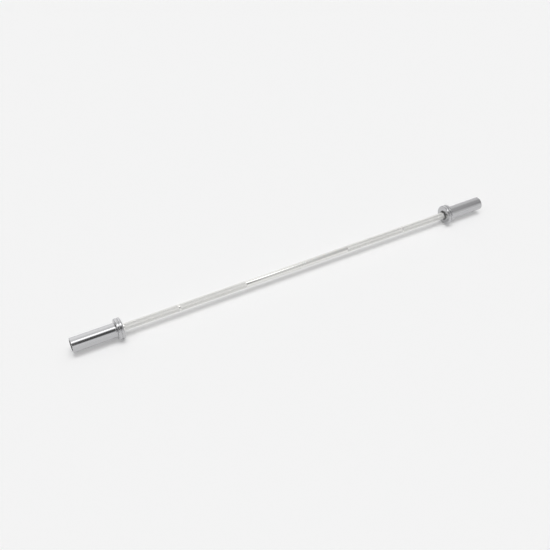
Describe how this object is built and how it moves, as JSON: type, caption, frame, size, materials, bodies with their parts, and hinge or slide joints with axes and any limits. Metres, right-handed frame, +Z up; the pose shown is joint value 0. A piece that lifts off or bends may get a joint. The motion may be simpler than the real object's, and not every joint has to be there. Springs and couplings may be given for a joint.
{
  "type": "barbell",
  "caption": "Straight chrome barbell with a slim knurled shaft, short plate sleeves that turn freely, and a double-ridged stop collar at the inner end of each sleeve.",
  "frame": {"origin": "middle of the bar: on the shaft's axis, halfway between the two collars", "axes": "+X along the bar towards the right sleeve, +Z up, Y level across the bar"},
  "size_m": [1.65, 0.074, 0.074],
  "materials": {
    "shaft_chrome": "hard chrome, polished where smooth, satin over the knurling",
    "chrome": "bright chrome with fine turning lines",
    "bronze": "oil-soaked sintered bronze",
    "washer_steel": "ground steel",
    "spring_steel": "blackened spring steel",
    "seal_nylon": "dark grey nylon, turned",
    "cap_plastic": "moulded, fine texture"
  },
  "bodies": {
    "shaft": {"shaft": "shaft_chrome", "left_inner_thrust_washer": "washer_steel", "left_outer_thrust_washer": "washer_steel", "left_shaft_clip": "spring_steel", "right_inner_thrust_washer": "washer_steel", "right_outer_thrust_washer": "washer_steel", "right_shaft_clip": "spring_steel"},
    "left_sleeve": {"left_collar": "chrome", "left_sleeve_tube": "chrome", "left_dust_seal": "seal_nylon", "left_inner_bushing": "bronze", "left_outer_bushing": "bronze", "left_end_cap": "cap_plastic"},
    "right_sleeve": {"right_collar": "chrome", "right_sleeve_tube": "chrome", "right_dust_seal": "seal_nylon", "right_inner_bushing": "bronze", "right_outer_bushing": "bronze", "right_end_cap": "cap_plastic"}
  },
  "joints": [
    {"name": "left_sleeve_spin", "type": "hinge", "parent": "shaft", "child": "left_sleeve", "pos_m": [-0.655, 0, 0], "axis": [1, 0, 0], "continuous": true},
    {"name": "right_sleeve_spin", "type": "hinge", "parent": "shaft", "child": "right_sleeve", "pos_m": [0.655, 0, 0], "axis": [1, 0, 0], "continuous": true}
  ]
}
